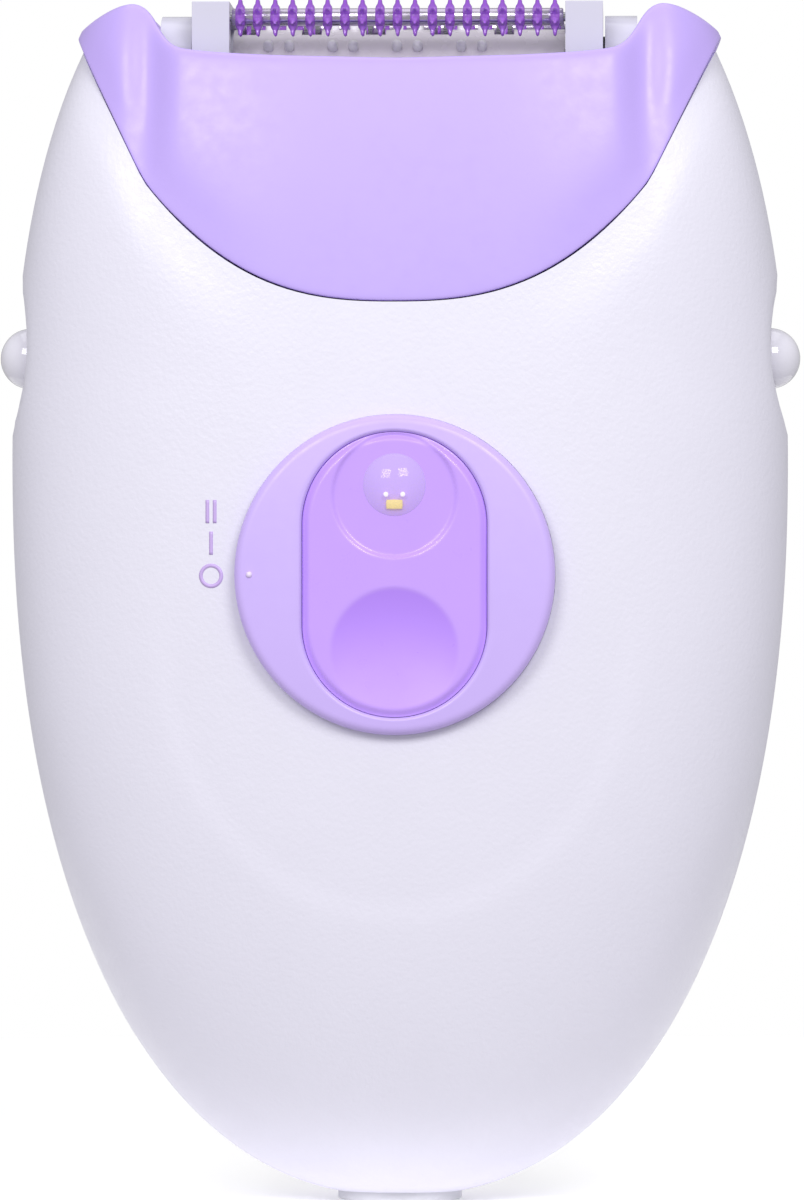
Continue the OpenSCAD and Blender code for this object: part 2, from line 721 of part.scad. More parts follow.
// Puts its child at the first tweezers of each row, in the plane of that row
module at_tweezers(count = tweezers_per_row) {
    for (row = [0:3]) for (i = [0:count - 1]) {
        x = (i - (tweezers_per_row - 1) / 2) * row_pitch + (row - 1.5) * row_shift;
        translate([x, 0, drum_z]) rotate([90 * row, 0, 0]) children();
    }
}

module at_rods() for (row = [0:3]) rotate([90 * row + 45, 0, 0]) translate([0, 0, rod_circle]) children();

module drum_core() color(white_plastic) {
    difference() {
        pin_x(drum_core_r, -drum_half, drum_half, 0, drum_z);
        pin_x(axle_r + fit, -20, 20, 0, drum_z);
        at_tweezers() block([-slot_half, slot_half], [-2.7, 2.7], [3.7, 8]);
        translate([0, 0, drum_z]) at_rods() pin_x(rod_r + fit, -20, 20, 0, 0);
    }
    // pairs of pegs that lift the hair between two tweezers
    at_tweezers(tweezers_per_row - 1) for (side = [-1, 1])
        translate([row_pitch / 2 + side, 0, drum_core_r - 0.5]) cylinder(r = 0.45, h = 1.3, $fn = 16);
}

module tweezer_blades() color([0.35, 0.36, 0.38]) at_tweezers()
    for (side = [-1, 1]) translate([side * (blade_gap + blade) / 2 - blade / 2, 0, 0])
        rotate([90, 0, 90]) linear_extrude(blade)
            polygon([[-2.6, 3.8], [2.6, 3.8], [2.4, 5.8], [1.5, tweezer_r - 0.15],
                     [-1.5, tweezer_r - 0.15], [-2.4, 5.8]]);

module clamp_rods() color(steel) translate([0, 0, drum_z]) at_rods()
    pin_x(rod_r, -drum_half - 0.6, head_plane[1] + 0.15, 0, 0);

module drum_gear() color([0.93, 0.93, 0.88]) difference() {
    union() {
        along_x(head_plane[0], head_plane[1], 0, drum_z) gear_outline(head_teeth, head_module, 270);
        pin_x(4, drum_half, head_plane[0], 0, drum_z);
    }
    pin_x(axle_r + fit, 10, 30, 0, drum_z);
    translate([0, 0, drum_z]) at_rods() pin_x(rod_r + fit, 10, 30, 0, 0);
}

// ---------- massage rollers ----------

module roller_frame() color(white_plastic) difference() {
    union() {
        for (side = [-1, 1]) {
            span = side > 0 ? post_x : mirrored_x(post_x);
            for (end = [-1, 1]) block(span, around(end * roller_y, post_half), post_z);
            block(span, [-roller_y, roller_y], [bridge_z, post_z[1]]);
        }
        for (end = [-1, 1])
            block([-post_x[0], post_x[0]], around(end * crossbar_y, 0.6), crossbar_z);
    }
    for (end = [-1, 1]) pin_x(roller_axle_r + 0.05, -20, 20, end * roller_y, roller_z);
}

module massage_roller(y) difference() {
    pitch = 2 * ring_reach / (roller_rings - 1);
    core_half = post_x[0] - 0.2;
    union() {
        pin_x(roller_core_r, -core_half, core_half, y, roller_z);
        for (i = [0:roller_rings - 1]) {
            ring = around(pitch * i - ring_reach, ring_w / 2);
            along_x(ring[0], ring[1], y, roller_z) polygon([for (s = [0:4 * roller_spikes - 1])
                let (a = 90 * s / roller_spikes + 22.5, r = s % 4 < 2 ? roller_tip_r : roller_core_r * 0.8)
                [r * cos(a), r * sin(a)]]);
        }
    }
    pin_x(roller_axle_r, -40, 40, y, roller_z);
}

module roller_axle(y) pin_x(roller_axle_r, -axle_half, axle_half, y, roller_z);

module front_roller() color(purple) massage_roller(-roller_y);
module rear_roller() color(purple) massage_roller(roller_y);
module front_roller_axle() color(steel) roller_axle(-roller_y);
module rear_roller_axle() color(steel) roller_axle(roller_y);

front_shell();
rear_shell();
socket_collar();
power_socket();
contact_pins();
chassis();
motor_can();
motor_end_cap();
motor_terminals();
circuit_board();
board_components();
switch_pads();
led_lamp();
socket_wires();
motor_wires();
shell_screws();
motor_screws();
idler_pin();
output_pin();
detent_spring();
button_springs();
motor_shaft();
motor_pinion();
idler_gear();
output_gear();
dial_ring();
light_window();
dial_carrier();
dial_retainer();
dial_wiper();
left_button();
right_button();
saddle_housing();
head_frame();
drum_axle();
left_cam();
right_cam();
head_screws();
drum_core();
tweezer_blades();
clamp_rods();
drum_gear();
roller_frame();
front_roller();
front_roller_axle();
rear_roller();
rear_roller_axle();
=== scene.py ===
"""Looks of a hand-held epilator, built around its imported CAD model.

Sizes are in millimetres and become metres when a mesh is made. X runs across the body, the front
faces -Y, and Z runs from the power inlet up to the tweezer head.
"""

import json
import math

import bmesh
import bpy
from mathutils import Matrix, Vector


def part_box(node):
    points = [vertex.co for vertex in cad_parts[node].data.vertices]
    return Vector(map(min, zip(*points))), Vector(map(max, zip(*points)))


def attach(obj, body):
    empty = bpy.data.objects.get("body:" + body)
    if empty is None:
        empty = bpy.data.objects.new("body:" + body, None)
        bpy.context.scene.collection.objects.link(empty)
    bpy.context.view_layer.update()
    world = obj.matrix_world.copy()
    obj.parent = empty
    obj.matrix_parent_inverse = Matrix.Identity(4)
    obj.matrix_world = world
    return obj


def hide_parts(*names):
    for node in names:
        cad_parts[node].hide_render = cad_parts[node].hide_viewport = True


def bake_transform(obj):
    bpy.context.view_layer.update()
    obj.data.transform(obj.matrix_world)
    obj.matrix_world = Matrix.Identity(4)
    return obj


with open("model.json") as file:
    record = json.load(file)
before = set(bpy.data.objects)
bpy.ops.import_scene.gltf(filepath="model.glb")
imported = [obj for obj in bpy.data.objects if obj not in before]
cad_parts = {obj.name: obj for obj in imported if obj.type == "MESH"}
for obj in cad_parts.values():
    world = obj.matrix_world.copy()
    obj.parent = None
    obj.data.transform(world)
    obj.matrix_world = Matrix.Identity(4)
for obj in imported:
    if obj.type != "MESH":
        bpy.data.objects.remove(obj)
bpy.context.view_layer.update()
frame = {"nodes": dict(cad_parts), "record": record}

MM = 0.001

# ---------- the body's form, as in the CAD source ----------

HALF_WIDTH = 37.6
WAIST_Z = 72
BASE_Z = 0.4
APEX_Z = 133
OUTLINE_POWER = 2.25
FRONT_DEPTH = 17.5
REAR_DEPTH = 19
DEPTH_WAIST_Z = 66
DEPTH_APEX_Z = 130
DEPTH_POWER_LOW = 2.8
DEPTH_POWER_UP = 2.2
SHELL_BOTTOM_Z = 0.95
WALL = 2.2
EAR_FLARE = 1.2

# Split between handle and head
SHIELD_BOTTOM = 86.5
ARC_X = 24.2
ARC_RISE = 11.7
ARC_POWER = 2.65
EAR_SLOPE = 2.03
PART_GAP = 0.1

# Release buttons and their scallops
BUTTON_Z = 81.5
BUTTON_HOLE_R = 3.25
SCALLOP_Z = BUTTON_Z + 1.35
SCALLOP_DEPTH = 1.5
SCALLOP_HALF = 7.8

# Dial
DIAL_Z = 60.5
DIAL_R = 15.2
RECESS_R = 15.22
RECESS_Y = -16.3
RING_FOOT = 16.6
RING_SHOULDER = 18.7
RING_CROWN = 19.6
RING_EDGE = 0.9
WINDOW_SIZE = (17.5, 27)
WINDOW_FACE = 18.9
WINDOW_BACK = 17.4
LED_Z = DIAL_Z + 8.5

SCREW_PLACES = [(25.4, 62), (-25.4, 62), (11, 20), (-11, 20)]
SCREW_HOLE_R = 2.2

# Drum
DRUM_Z = 107.5

# Massage rollers
ROLLER_Y = 7.9
ROLLER_Z = 114.05
ROLLER_RINGS = 19
ROLLER_SPIKES = 8
RING_REACH = 15.1
SLEEVE_R = 0.85
POST_W = 3.6


def clamp01(t):
    """t, kept between 0 and 1."""
    return min(1.0, max(0.0, t))


def smooth(t):
    """0 to 1 with soft ends, for t from 0 to 1."""
    t = clamp01(t)
    return t * t * (3 - 2 * t)


def mix(a, b, t):
    """The point a share t of the way from a to b."""
    return [p + (q - p) * t for p, q in zip(a, b)]


def closing(t, power):
    """Closing factor of a half superellipse: 1 at t = 0 and 0 at t = 1."""
    return max(0.0, 1 - clamp01(t) ** power) ** (1 / power)


def outline_x(z):
    """Half the body's width at a height, as seen from the front."""
    if z < WAIST_Z:
        return HALF_WIDTH * closing((WAIST_Z - z) / (WAIST_Z - BASE_Z), OUTLINE_POWER)
    return HALF_WIDTH * closing((z - WAIST_Z) / (APEX_Z - WAIST_Z), OUTLINE_POWER)


def half_depth(z, front):
    """Depth of the front or the rear half of the body at a height, on the centre line."""
    depth = FRONT_DEPTH if front else REAR_DEPTH
    if z < DEPTH_WAIST_Z:
        return depth * closing((DEPTH_WAIST_Z - z) / (DEPTH_WAIST_Z - BASE_Z), DEPTH_POWER_LOW)
    return depth * closing((z - DEPTH_WAIST_Z) / (DEPTH_APEX_Z - DEPTH_WAIST_Z), DEPTH_POWER_UP)


def section_power(z):
    """How square the horizontal section is at a height: 2 would be an ellipse."""
    return 2.3 + 0.7 * smooth((z - 78) / 30)


def half_x(z, flare):
    """Half the width at a height, with the flare that the saddle's ears have at their top."""
    return outline_x(z) + flare * smooth((z - 102) / 11)


def split_z(x):
    """Height of the split between handle and head: an arc under the shield, then straight up the ear."""
    reach = abs(x)
    if reach < ARC_X:
        return SHIELD_BOTTOM + ARC_RISE * (reach / ARC_X) ** ARC_POWER
    return SHIELD_BOTTOM + ARC_RISE + EAR_SLOPE * (reach - ARC_X)


def skin_x(z, angle, flare=0.0):
    """Distance from the middle, with its sign, at a height and an angle round the section."""
    c = math.cos(angle)
    return math.copysign(abs(c) ** (2 / section_power(z)), c) * half_x(z, flare)


def skin_y(x, z, front, flare=0.0):
    """Depth of the skin at x and z: negative in front."""
    y = half_depth(z, front) * closing(abs(x) / half_x(z, flare), section_power(z))
    return -y if front else y


def solve_height(low, high, too_low):
    """The height at which too_low turns false."""
    for _ in range(40):
        middle = (low + high) / 2
        if too_low(middle):
            low = middle
        else:
            high = middle
    return (low + high) / 2


def scallop_limit(x, z):
    """|x| of the skin after the finger scallop is taken off, with a soft edge."""
    r = (SCALLOP_HALF ** 2 + SCALLOP_DEPTH ** 2) / 2 / SCALLOP_DEPTH
    height = abs(z - SCALLOP_Z)
    if height > 2 * SCALLOP_HALF:
        return x
    limit = outline_x(BUTTON_Z) - SCALLOP_DEPTH + r - math.sqrt(r * r - height * height)
    softness = 0.35
    t = clamp01(0.5 + (limit - abs(x)) / 2 / softness)
    soft = abs(x) * t + limit * (1 - t) - softness * t * (1 - t)
    return math.copysign(min(abs(x), soft), x)


# ---------- mesh helpers ----------

def make_piece(name, points, faces, material, stands_for=()):
    """A smooth-shaded mesh with its normals outward; stands_for lists the CAD nodes that it replaces."""
    data = bpy.data.meshes.new(name)
    data.from_pydata([[c * MM for c in p] for p in points], [], faces)
    work = bmesh.new()
    work.from_mesh(data)
    bmesh.ops.remove_doubles(work, verts=work.verts, dist=1e-7)
    bmesh.ops.recalc_face_normals(work, faces=work.faces)
    work.to_mesh(data)
    work.free()
    data.polygons.foreach_set("use_smooth", [True] * len(data.polygons))
    data.materials.append(material)
    piece = bpy.data.objects.new(name, data)
    bpy.context.scene.collection.objects.link(piece)
    if stands_for:
        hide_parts(*stands_for)
    return piece


def add_piece(name, points, faces, body, material, stands_for=()):
    """A piece that rides on a CAD body."""
    piece = make_piece(name, points, faces, material, stands_for)
    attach(piece, body)
    return piece


def add_modifier(piece, kind, **settings):
    """A modifier of this kind with its settings, in metres."""
    modifier = piece.modifiers.new(kind.title(), kind)
    for name, value in settings.items():
        setattr(modifier, name, value)
    return modifier


def join_lofts(lofts):
    """Several lofts as the points and faces of one mesh."""
    points, faces = [], []
    for more, quads in lofts:
        start = len(points)
        points += more
        faces += [[start + i for i in quad] for quad in quads]
    return points, faces


def round_edges(piece, width, segments=3, angle=40):
    """A small rounded bevel, width in millimetres, on edges sharper than angle in degrees."""
    add_modifier(piece, "BEVEL", width=width * MM, segments=segments, limit_method="ANGLE",
                 angle_limit=math.radians(angle), harden_normals=True)


def loft(loops, close_ends=False):
    """Points and quads that join closed loops of equal length, one after another."""
    count = len(loops[0])
    points = [p for loop in loops for p in loop]
    faces = []
    for k in range(len(loops) - 1):
        for i in range(count):
            j = (i + 1) % count
            faces.append([k * count + i, k * count + j, (k + 1) * count + j, (k + 1) * count + i])
    if close_ends:
        faces.append(list(range(count)))
        faces.append([(len(loops) - 1) * count + i for i in range(count)])
    return points, faces


def oblong_loop(width, height, count):
    """Points round an upright shape with half-round ends, evenly spaced, as (across, up)."""
    r = width / 2
    straight = max(0.0, height - width)
    length = 2 * straight + 2 * math.pi * r
    found = []
    for i in range(count):
        s = (i / count * length + straight / 2) % length
        if s < straight:
            found.append((r, s - straight / 2))
        elif s < straight + math.pi * r:
            a = (s - straight) / r
            found.append((r * math.cos(a), straight / 2 + r * math.sin(a)))
        elif s < 2 * straight + math.pi * r:
            found.append((-r, straight / 2 - (s - straight - math.pi * r)))
        else:
            a = (s - 2 * straight - math.pi * r) / r
            found.append((-r * math.cos(a), -straight / 2 - r * math.sin(a)))
    return found


def circle_loop(r, count):
    """Points round a circle, as (across, up)."""
    return [(r * math.cos(2 * math.pi * i / count), r * math.sin(2 * math.pi * i / count))
            for i in range(count)]


# ---------- materials ----------

def new_material(name, colour, roughness, **sockets):
    """A Principled material and its node tree; constant values go straight on the shader."""
    material = bpy.data.materials.new(name)
    material.use_nodes = True
    tree = material.node_tree
    shader = tree.nodes["Principled BSDF"]
    shader.inputs["Base Color"].default_value = (*colour, 1)
    shader.inputs["Roughness"].default_value = roughness
    for socket, value in sockets.items():
        shader.inputs[socket.replace("_", " ")].default_value = value
    material.diffuse_color = (*colour, 1)
    return material, tree, shader


def noise_of(tree, size_mm, detail=2.0, stretch=(1, 1, 1)):
    """A noise texture whose features are about size_mm wide."""
    place = tree.nodes.new("ShaderNodeTexCoord")
    scale = tree.nodes.new("ShaderNodeMapping")
    scale.inputs["Scale"].default_value = stretch
    noise = tree.nodes.new("ShaderNodeTexNoise")
    noise.inputs["Scale"].default_value = 1 / (size_mm * MM)
    noise.inputs["Detail"].default_value = detail
    tree.links.new(place.outputs["Object"], scale.inputs["Vector"])
    tree.links.new(scale.outputs["Vector"], noise.inputs["Vector"])
    return noise.outputs["Fac"]


def vary_roughness(tree, shader, low, high, size_mm, stretch=(1, 1, 1)):
    """Roughness that wanders between low and high in patches about size_mm wide."""
    spread = tree.nodes.new("ShaderNodeMapRange")
    spread.inputs["From Min"].default_value = 0.3
    spread.inputs["From Max"].default_value = 0.7
    spread.inputs["To Min"].default_value = low
    spread.inputs["To Max"].default_value = high
    tree.links.new(noise_of(tree, size_mm, stretch=stretch), spread.inputs["Value"])
    tree.links.new(spread.outputs["Result"], shader.inputs["Roughness"])


def vary_colour(tree, shader, colour, amount, size_mm, stretch=(1, 1, 1)):
    """A colour that darkens by up to this share in patches about size_mm wide."""
    blend = tree.nodes.new("ShaderNodeMix")
    blend.data_type = "RGBA"
    blend.inputs["A"].default_value = (*colour, 1)
    blend.inputs["B"].default_value = (*[c * (1 - amount) for c in colour], 1)
    tree.links.new(noise_of(tree, size_mm, 3.0, stretch), blend.inputs["Factor"])
    tree.links.new(blend.outputs["Result"], shader.inputs["Base Color"])


def add_grain(tree, shader, size_mm, depth_mm, stretch=(1, 1, 1)):
    """Bumps about size_mm wide and depth_mm deep."""
    bump = tree.nodes.new("ShaderNodeBump")
    bump.inputs["Distance"].default_value = depth_mm * MM
    bump.inputs["Strength"].default_value = 1.0
    tree.links.new(noise_of(tree, size_mm, 2.0, stretch), bump.inputs["Height"])
    tree.links.new(bump.outputs["Normal"], shader.inputs["Normal"])


def satin_plastic(name, colour, roughness=0.42, grain_depth=0.006, **sockets):
    """Moulded plastic with a fine spark-eroded grain."""
    material, tree, shader = new_material(name, colour, roughness, **sockets)
    vary_colour(tree, shader, colour, 0.035, 9)
    vary_roughness(tree, shader, roughness - 0.05, roughness + 0.06, 1.3)
    add_grain(tree, shader, 0.45, grain_depth)
    return material


def polished_plastic(name, colour, roughness=0.12, **sockets):
    """Moulded plastic from a polished tool, with faint flow waviness."""
    material, tree, shader = new_material(name, colour, roughness, **sockets)
    vary_colour(tree, shader, colour, 0.03, 5)
    vary_roughness(tree, shader, roughness - 0.03, roughness + 0.05, 2.0)
    add_grain(tree, shader, 2.5, 0.004)
    return material


def steel(name, colour, roughness=0.28, stretch=(1, 12, 12)):
    """Ground or drawn metal: fine scratches along the direction with the smallest stretch."""
    material, tree, shader = new_material(name, colour, roughness, Metallic=1.0)
    vary_colour(tree, shader, colour, 0.15, 1.5, stretch)
    vary_roughness(tree, shader, roughness - 0.08, roughness + 0.12, 0.8, stretch)
    add_grain(tree, shader, 0.5, 0.002, stretch=stretch)
    return material


def laminate(name, colour):
    """Solder mask over a woven glass board, with paler copper tracks."""
    material, tree, shader = new_material(name, colour, 0.3, Coat_Weight=0.4)
    vary_colour(tree, shader, [c * 1.6 for c in colour], 0.45, 3.5, (3, 1, 0.4))
    add_grain(tree, shader, 0.4, 0.01)
    return material


WHITE = (0.80, 0.78, 0.90)
LAVENDER = (0.545, 0.41, 0.92)

finishes = {
    "shell_white": satin_plastic("shell_white", WHITE, 0.38, 0.035),
    "saddle_lavender": satin_plastic("saddle_lavender", LAVENDER, 0.36, 0.004),
    "dial_lavender": satin_plastic("dial_lavender", (0.62, 0.47, 0.96), 0.34, 0.004),
    "window_purple": polished_plastic("window_purple", (0.56, 0.32, 0.98), 0.3,
                                      Coat_Weight=0.08),
    "lamp_clear": polished_plastic("lamp_clear", (0.85, 0.74, 1.0), 0.06, Alpha=0.35, Coat_Weight=0.4),
    "button_gloss": polished_plastic("button_gloss", (0.82, 0.80, 0.90), 0.1, Coat_Weight=0.6),
    "collar_grey": satin_plastic("collar_grey", (0.74, 0.74, 0.80)),
    "socket_black": satin_plastic("socket_black", (0.02, 0.02, 0.022)),
    "contact_metal": steel("contact_metal", (0.80, 0.62, 0.30), 0.2),
    "chassis_grey": satin_plastic("chassis_grey", (0.60, 0.62, 0.66)),
    "motor_steel": steel("motor_steel", (0.60, 0.60, 0.62), 0.3),
    "cap_black": satin_plastic("cap_black", (0.03, 0.03, 0.035)),
    "board_green": laminate("board_green", (0.03, 0.20, 0.08)),
    "component_dark": satin_plastic("component_dark", (0.04, 0.04, 0.05), 0.5, 0.01),
    "wire_cover": satin_plastic("wire_cover", (0.35, 0.03, 0.03), 0.45),
    "spring_steel": steel("spring_steel", (0.55, 0.55, 0.57), 0.22),
    "screw_steel": steel("screw_steel", (0.50, 0.50, 0.52), 0.3),
    "gear_nylon": satin_plastic("gear_nylon", (0.85, 0.84, 0.76), 0.35, Subsurface_Weight=0.2,
                                Subsurface_Scale=0.001),
    # the frame's white plastic is given a grey colour: painted shade for the posts and cheeks that stand
    # in shade
    "frame_white": polished_plastic("frame_white", (0.66, 0.645, 0.77), 0.2, Coat_Weight=0.2),
    "axle_steel": steel("axle_steel", (0.45, 0.45, 0.48), 0.2),
    "cam_grey": satin_plastic("cam_grey", (0.10, 0.10, 0.12)),
    # the drum's white plastic is given a greyish colour: painted shade for the roller's shadow over it
    "drum_white": polished_plastic("drum_white", (0.62, 0.57, 0.66), 0.25, Coat_Weight=0.2),
    "blade_steel": steel("blade_steel", (0.18, 0.18, 0.20), 0.25),
    "roller_purple": polished_plastic("roller_purple", (0.50, 0.17, 0.90), 0.08,
                                      Transmission_Weight=0.4, IOR=1.5, Coat_Weight=0.6),
}


def paint_cad_nodes():
    """Every CAD node gets the finish of its record slot."""
    for row in frame["record"]["subparts"]:
        node = frame["nodes"][row["node"]]
        node.data.materials.clear()
        node.data.materials.append(finishes[row["material_slot"]])


def soften_cad_nodes():
    """Moulded and turned pieces get small rounded edges."""
    widths = {"head_frame": 0.45, "roller_frame": 0.5, "socket_collar": 0.35, "power_socket": 0.2,
              "chassis": 0.15, "dial_carrier": 0.1, "motor_end_cap": 0.2}
    for name, width in widths.items():
        node = frame["nodes"][name]
        add_modifier(node, "WELD", merge_threshold=1e-6)
        round_edges(node, width)


# ---------- shells ----------

SHELL_COLUMNS = 96
SHELL_ROWS = 96


def column_angles(front):
    """Angles round half a section that lie evenly along it at the waist."""
    dense = 720
    turn = -math.pi if front else math.pi
    angles = [turn * i / dense for i in range(dense + 1)]
    points = [(skin_x(DEPTH_WAIST_Z, a), skin_y(skin_x(DEPTH_WAIST_Z, a), DEPTH_WAIST_Z, front))
              for a in angles]
    reached = [0.0]
    for p, q in zip(points, points[1:]):
        reached.append(reached[-1] + math.dist(p, q))
    found, at = [], 0
    for c in range(SHELL_COLUMNS + 1):
        wanted = reached[-1] * c / SHELL_COLUMNS
        while at < dense - 1 and reached[at + 1] < wanted:
            at += 1
        share = (wanted - reached[at]) / (reached[at + 1] - reached[at])
        found.append(angles[at] + (angles[at + 1] - angles[at]) * share)
    return found


def shell_depth(x, z, front):
    """Depth of a shell's outer face, kept just clear of the seam."""
    seam_half = 0.06
    y = skin_y(x, z, front)
    if front:
        return min(y + thumb_field(x, z) + seam_dip(x, z), -seam_half)
    return max(y - seam_dip(x, z), seam_half)


def thumb_field(x, z):
    """The faint oval field pressed in below the dial, with a soft edge."""
    depth, edge = 0.16, 0.055
    reach = math.hypot(x / 22.0, (z - 53) / 24.6)
    return depth * smooth((1 + edge - reach) / edge / 2) * smooth((62 - z) / 14)


def shell_points(front):
    """Rows of points on a shell's outer face, closer together towards the inlet."""
    rows = [[] for _ in range(SHELL_ROWS + 1)]
    for angle in column_angles(front):
        top = solve_height(80, 116, lambda z: z < split_z(skin_x(z, angle)) - PART_GAP)
        for r in range(SHELL_ROWS + 1):
            z = SHELL_BOTTOM_Z + (top - SHELL_BOTTOM_Z) * (r / SHELL_ROWS) ** 1.5
            x = skin_x(z, angle)
            rows[r].append([scallop_limit(x, z), shell_depth(x, z, front), z])
    return rows


def seam_dip(x, z):
    """How far the skin sinks towards the split, along the flanks of the shield."""
    distance = abs(z - split_z(x)) / 1.9
    return 0.5 * math.exp(-(distance / 2.4) ** 2) * smooth((abs(x) - 9) / 12)


class Hole:
    """A round hole through a shell, seen along Y (at x, z) or along X (at y = 0, z)."""

    def __init__(self, centre, r, margin, along):
        self.centre = centre
        self.r = r
        self.margin = margin
        self.along = along

    def flat(self, p):
        """The point in the plane that the hole is seen in."""
        return (p[0] if self.along == "y" else p[1], p[2])

    def covers(self, p):
        """Whether the point is in the hole or in the margin round it, on the hole's own side."""
        if self.along == "x" and p[0] * self.centre[2] < 0:
            return False
        u, v = self.flat(p)
        return math.hypot(u - self.centre[0], v - self.centre[1]) < self.r + self.margin

    def between(self, p, share):
        """The point this share of the way from the hole's edge to p, in the hole's plane."""
        u, v = self.flat(p)
        du, dv = u - self.centre[0], v - self.centre[1]
        reach = math.hypot(du, dv)
        grow = (self.r + (reach - self.r) * share) / reach
        return self.centre[0] + du * grow, self.centre[1] + dv * grow


def block_loop(rows, columns, last_column):
    """Grid places round a block, open where it meets the first or last column."""
    (r0, r1), (c0, c1) = rows, columns
    low = [(r0, c) for c in range(c0, c1)]
    right = [(r, c1) for r in range(r0, r1)]
    high = [(r1, c) for c in range(c1, c0, -1)]
    left = [(r, c0) for r in range(r1, r0, -1)]
    if c0 == 0:
        return low + right + high + [(r1, c0)], False
    if c1 == last_column:
        return high + left + low + [(r0, c1)], False
    return low + right + high + left, True


def build_shell(name, front, holes):
    """One half of the handle: a sheet along the skin with its holes, thickened inward."""
    grid = shell_points(front)
    points = [p for row in grid for p in row]
    width = SHELL_COLUMNS + 1
    cells = {(r, c) for r in range(SHELL_ROWS) for c in range(SHELL_COLUMNS)}
    faces = []
    for hole in holes:
        inside = [(r, c) for r, row in enumerate(grid) for c, p in enumerate(row) if hole.covers(p)]
        rows = (min(r for r, _ in inside), max(r for r, _ in inside))
        columns = (min(c for _, c in inside), max(c for _, c in inside))
        cells -= {(r, c) for r in range(*rows) for c in range(*columns)}
        loop, closed = block_loop(rows, columns, SHELL_COLUMNS)
        rings = [[r * width + c for r, c in loop]]
        steps = 5
        for k in range(steps - 1, -1, -1):
            ring = []
            for r, c in loop:
                u, v = hole.between(grid[r][c], k / steps)
                if hole.along == "y":
                    p = [u, shell_depth(u, v, front), v]
                else:
                    x = half_x(v, 0) * closing(abs(u) / half_depth(v, front), section_power(v))
                    p = [scallop_limit(math.copysign(x, hole.centre[2]), v), u, v]
                ring.append(len(points))
                points.append(p)
            rings.append(ring)
        if hole.along == "y" and front:
            # the dial's recess: a wall and a floor that runs in under the dial
            for r in (RECESS_R - 0.02, RECESS_R - 4):
                ring = []
                for place in loop:
                    u, v = hole.between(grid[place[0]][place[1]], 0)
                    across, up = u - hole.centre[0], v - hole.centre[1]
                    ring.append(len(points))
                    points.append([hole.centre[0] + across * r / hole.r, RECESS_Y,
                                   hole.centre[1] + up * r / hole.r])
                rings.append(ring)
        for outer, inner in zip(rings, rings[1:]):
            for i in range(len(outer) if closed else len(outer) - 1):
                j = (i + 1) % len(outer)
                faces.append([outer[i], outer[j], inner[j], inner[i]])
    for r, c in sorted(cells):
        faces.append([r * width + c, r * width + c + 1, (r + 1) * width + c + 1, (r + 1) * width + c])
    shell = add_piece(name + "_skin", points, faces, "handle", finishes["shell_white"],
                      [name])
    # the sheet is open, so its outward side is settled by a point on the middle of it
    middle = min(shell.data.polygons, key=lambda f: abs(f.center.x) + abs(f.center.z - 0.04))
    if middle.normal.y * (-1 if front else 1) < 0:
        shell.data.flip_normals()
    add_modifier(shell, "SOLIDIFY", thickness=(WALL - 0.6) * MM, offset=-1)
    round_edges(shell, 0.16, 2, 50)
    return shell


def build_shells():
    """Both halves of the handle, with the holes for buttons, dial and screws."""
    side_holes = [Hole((0, BUTTON_Z, side), BUTTON_HOLE_R, 1.6, "x") for side in (-1, 1)]
    recess = Hole((0, DIAL_Z), RECESS_R, 2.4, "y")
    screws = [Hole(place, SCREW_HOLE_R, 1.6, "y") for place in SCREW_PLACES]
    build_shell("front_shell", True, side_holes + [recess])
    build_shell("rear_shell", False, side_holes + screws)
    build_screw_wells()


def build_screw_wells():
    """The smooth walls of the screw holes in the rear shell, down to the screw heads."""
    count = 48
    depth = 3.6
    for i, (x, z) in enumerate(SCREW_PLACES):
        seat = skin_y(x, z, False) - depth
        loops = []
        for r, back in ((SCREW_HOLE_R, None), (SCREW_HOLE_R, seat), (1.2, seat), (1.2, seat - 2)):
            loop = []
            for u, v in circle_loop(r, count):
                y = skin_y(x + u, z + v, False) - 0.15 if back is None else back
                loop.append([x + u, y, z + v])
            loops.append(loop)
        points, faces = loft(loops)
        add_piece(f"screw_well_{i + 1}", points, faces, "handle", finishes["shell_white"])


# ---------- saddle ----------

EAR_INNER_X = 23.2
SADDLE_WALL = 2
# the upper edge as (distance from the middle, height): flat over the shield, then up and over the ear
RIM_PROFILE = [(0, 109.8), (12, 110.1), (19, 110.55), (21.0, 110.95), (22.0, 111.65), (22.8, 112.8),
               (23.4, 113.95), (24.1, 114.85), (24.9, 115.35), (25.9, 115.45), (27.2, 115.15),
               (28.5, 114.6), (29.8, 113.95), (30.7, 113.4), (31.3, 113.0)]


def rim_z(x):
    """Height of the saddle's upper edge, the same through the whole depth."""
    reach = abs(x)
    for (x0, z0), (x1, z1) in zip(RIM_PROFILE, RIM_PROFILE[1:]):
        if reach <= x1:
            return z0 + (z1 - z0) * (reach - x0) / (x1 - x0)
    return RIM_PROFILE[-1][1]


def valley(x, z):
    """How far the skin is pressed in between shield and ear, with a low ridge on the shield's side."""
    groove = 1.3 * math.exp(-((abs(x) - 23.9) / 1.7) ** 2)
    ridge = 0.25 * math.exp(-((abs(x) - 20.4) / 1.3) ** 2)
    return (groove - ridge) * smooth((z - 94) / 15) + seam_dip(x, z)


def saddle_columns():
    """Angles of the saddle's columns in one quarter, from the middle of the shield to the side.

    They stand closest where the rim steps up from the shield to the ear.
    """
    shield = [i * 20 / 9 for i in range(10)]
    step = [21 + i * 0.5 for i in range(12)]
    ear = [27.6, 28.8, 29.8, 30.5, 31.0]
    found = []
    for x in shield + step + ear:
        z = rim_z(x)
        cosine = clamp01(x / half_x(z, EAR_FLARE)) ** (section_power(z) / 2)
        found.append(math.acos(clamp01(cosine)))
    return found + [0.0]


